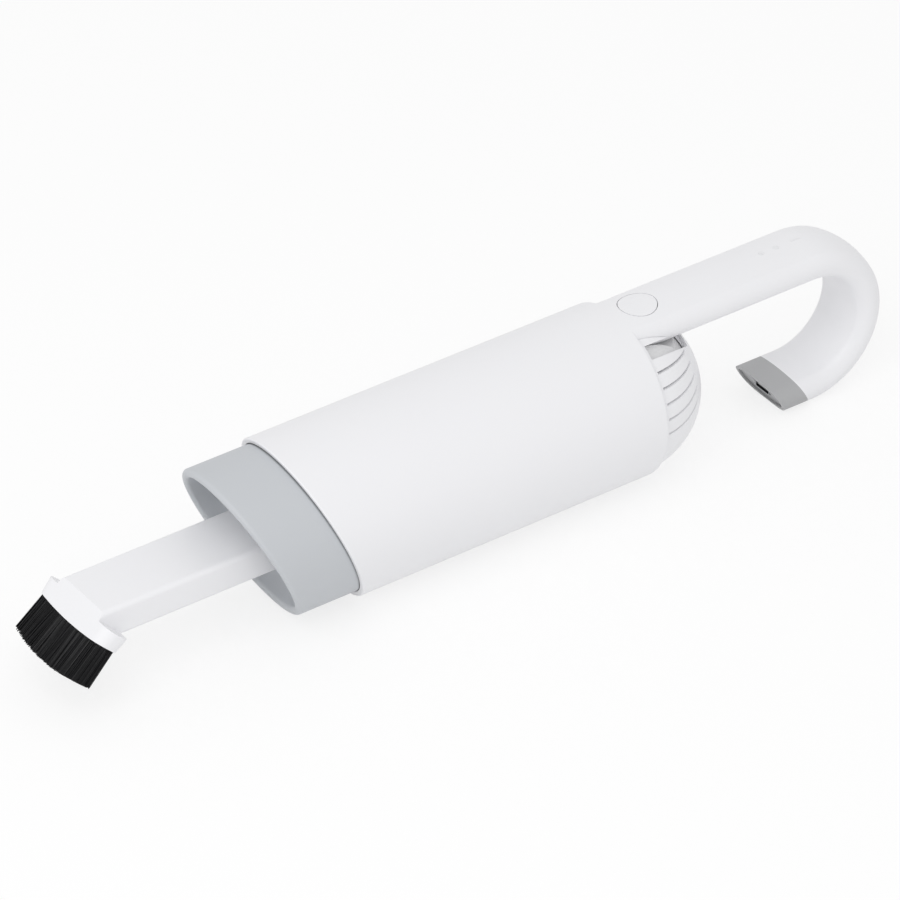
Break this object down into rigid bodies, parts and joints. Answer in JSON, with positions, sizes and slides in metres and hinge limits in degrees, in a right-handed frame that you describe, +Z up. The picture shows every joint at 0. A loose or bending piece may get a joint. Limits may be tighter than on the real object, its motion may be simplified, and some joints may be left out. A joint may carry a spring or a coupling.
{
  "type": "portable vacuum cleaner",
  "caption": "Slim cordless hand vacuum: white tube body, grey slanted nose with a pull-out flat brush nozzle, louvred rear and a hook-shaped handle with a power button.",
  "frame": {"origin": "middle of the bottom of the whole vacuum as it lies on its belly, on the body's middle plane", "axes": "+X along the body's axis from the brush to the hook, +Z up to the side of the handle and the button, +Y to the side"},
  "size_m": [0.3746, 0.07, 0.0693],
  "materials": {
    "white_plastic": "satin white moulded plastic",
    "nose_grey": "pale cool grey moulded plastic",
    "tip_grey": "mid grey moulded plastic",
    "brush_black": "black nylon bristles",
    "cup_plastic": "smoky plastic cup wall",
    "soft_rubber": "soft grey rubber",
    "filter_frame_plastic": "white filter frame plastic",
    "filter_cloth": "pleated non-woven filter cloth",
    "inner_plastic": "grey inner moulding",
    "steel": "bright steel",
    "rotor_iron": "laminated iron rotor",
    "bearing_bronze": "sintered bronze bush",
    "cell_case": "wrapped round cell",
    "board_green": "green circuit board",
    "exhaust_grey": "grey exhaust foam",
    "lens_plastic": "milky light pipe",
    "socket_metal": "plated socket shell",
    "lead_jacket": "red wire insulation"
  },
  "bodies": {
    "housing": {"main_shell": "white_plastic", "bulkhead": "inner_plastic", "fan_housing": "inner_plastic", "fan_screws": "steel", "motor_can": "steel", "motor_bearings": "bearing_bronze", "battery_cells": "cell_case", "battery_tabs": "steel", "mid_frame": "inner_plastic", "rear_frame": "inner_plastic", "main_board": "board_green", "exhaust_grille": "white_plastic", "exhaust_foam": "exhaust_grey", "handle_outer_shell": "white_plastic", "handle_inner_shell": "white_plastic", "handle_spine": "inner_plastic", "handle_screws": "steel", "button_spring": "steel", "button_board": "board_green", "tact_switch": "inner_plastic", "indicator_board": "board_green", "indicator_lenses": "lens_plastic", "tip_cap": "tip_grey", "charge_socket": "socket_metal", "charge_board": "board_green", "charge_leads": "lead_jacket"},
    "dust_cup": {"nose_ring": "nose_grey", "inlet_duct": "nose_grey", "flap_pin": "steel", "dust_cup": "cup_plastic", "cup_seal": "soft_rubber"},
    "flap": {"inlet_flap": "soft_rubber"},
    "filter": {"filter_frame": "filter_frame_plastic", "filter_cap": "filter_frame_plastic", "filter_media": "filter_cloth"},
    "rotor": {"impeller": "inner_plastic", "motor_shaft": "steel", "motor_rotor": "rotor_iron"},
    "button": {"power_button": "white_plastic"},
    "nozzle": {"nozzle_tube": "white_plastic", "brush_collar": "white_plastic", "brush_bristles": "brush_black"}
  },
  "joints": [
    {"name": "dust_cup_pull", "type": "slide", "parent": "housing", "child": "dust_cup", "axis": [-1, 0, 0], "range_m": [0, 0.085]},
    {"name": "nozzle_pull", "type": "slide", "parent": "dust_cup", "child": "nozzle", "axis": [-1, 0, 0], "range_m": [0, 0.02]},
    {"name": "filter_pull", "type": "slide", "parent": "housing", "child": "filter", "axis": [-1, 0, 0], "range_m": [0, 0.01]},
    {"name": "inlet_flap_swing", "type": "hinge", "parent": "dust_cup", "child": "flap", "pos_m": [-0.05882, 0, 0.04469], "axis": [0, -1, 0], "range_deg": [0, 60], "stiffness_Nm_per_rad": 0.0005, "springref_deg": -11.46},
    {"name": "impeller_spin", "type": "hinge", "parent": "housing", "child": "rotor", "pos_m": [0.01588, 0, 0.04329], "axis": [1, 0, 0], "continuous": true},
    {"name": "power_button_press", "type": "slide", "parent": "housing", "child": "button", "axis": [0, 0, -1], "range_m": [0, 0.001], "stiffness_N_per_m": 1200, "springref_m": -0.0008}
  ]
}
